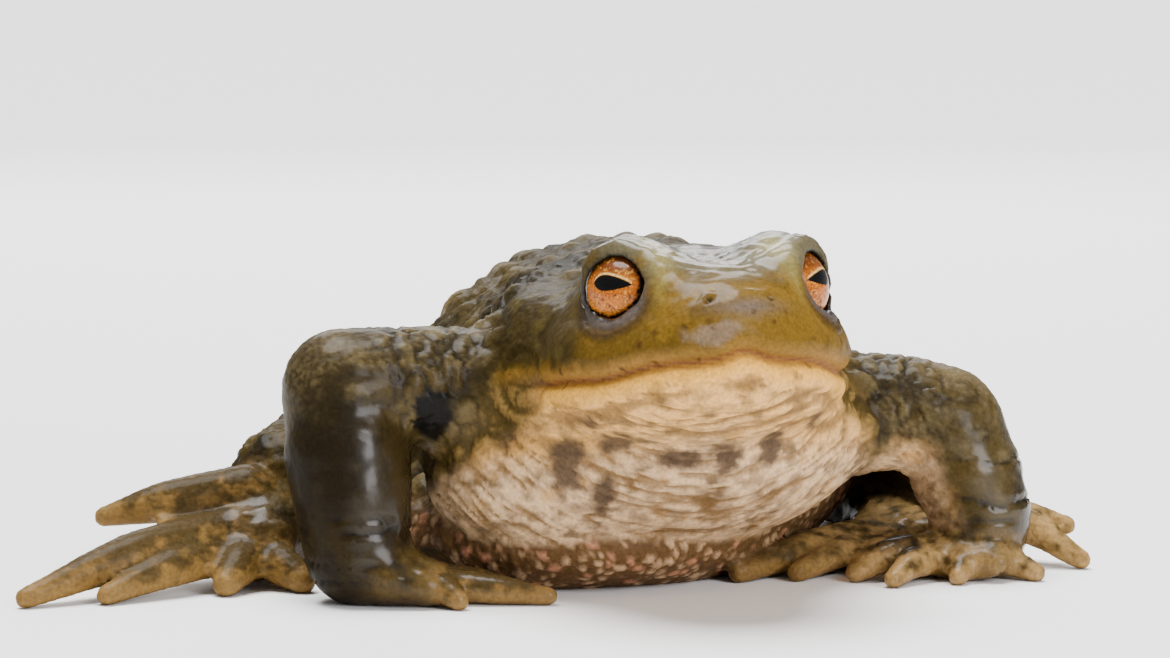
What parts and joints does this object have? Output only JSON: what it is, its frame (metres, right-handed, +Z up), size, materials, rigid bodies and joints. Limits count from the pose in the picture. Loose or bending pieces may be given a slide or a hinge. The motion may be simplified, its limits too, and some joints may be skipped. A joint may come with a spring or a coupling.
{
  "type": "common toad",
  "caption": "Life-size still model of a resting common toad, body raised on spread forelegs, hind feet splayed, for display on a flat surface.",
  "frame": {"origin": "middle of the bounding box in plan, on the floor the toad rests on", "axes": "+Z up, -Y the way the trunk faces, +X the toad's left; the head is turned a little to its left"},
  "size_m": [0.1032, 0.076, 0.0342],
  "materials": {
    "back_skin": "wet warty toad skin, olive brown above and cream with dark spots below",
    "face_skin": "smooth wet skin, olive to yellow brown",
    "jaw_skin": "smooth wet skin, cream yellow",
    "limb_skin": "wet wrinkled skin, olive brown with near-black patches",
    "digit_skin": "wet skin, tan orange at the tips",
    "eye": "polished cornea over a copper-orange iris with a flat black pupil"
  },
  "bodies": {
    "root": {"trunk": "back_skin", "head": "face_skin", "lower_jaw": "jaw_skin", "eye_left": "eye", "eye_right": "eye", "right_upper_arm": "limb_skin", "right_forearm": "limb_skin", "right_hand": "limb_skin", "left_upper_arm": "limb_skin", "left_forearm": "limb_skin", "left_hand": "limb_skin", "right_thigh": "limb_skin", "right_shank": "limb_skin", "right_tarsus": "limb_skin", "right_foot": "limb_skin", "left_thigh": "limb_skin", "left_shank": "limb_skin", "left_tarsus": "limb_skin", "left_foot": "limb_skin", "right_finger_1": "digit_skin", "right_finger_2": "digit_skin", "right_finger_3": "digit_skin", "right_finger_4": "digit_skin", "left_finger_1": "digit_skin", "left_finger_2": "digit_skin", "left_finger_3": "digit_skin", "left_finger_4": "digit_skin", "right_toe_1": "digit_skin", "right_toe_2": "digit_skin", "right_toe_3": "digit_skin", "right_toe_4": "digit_skin", "right_toe_5": "digit_skin", "left_toe_1": "digit_skin", "left_toe_2": "digit_skin", "left_toe_3": "digit_skin", "left_toe_4": "digit_skin", "left_toe_5": "digit_skin"}
  },
  "joints": []
}
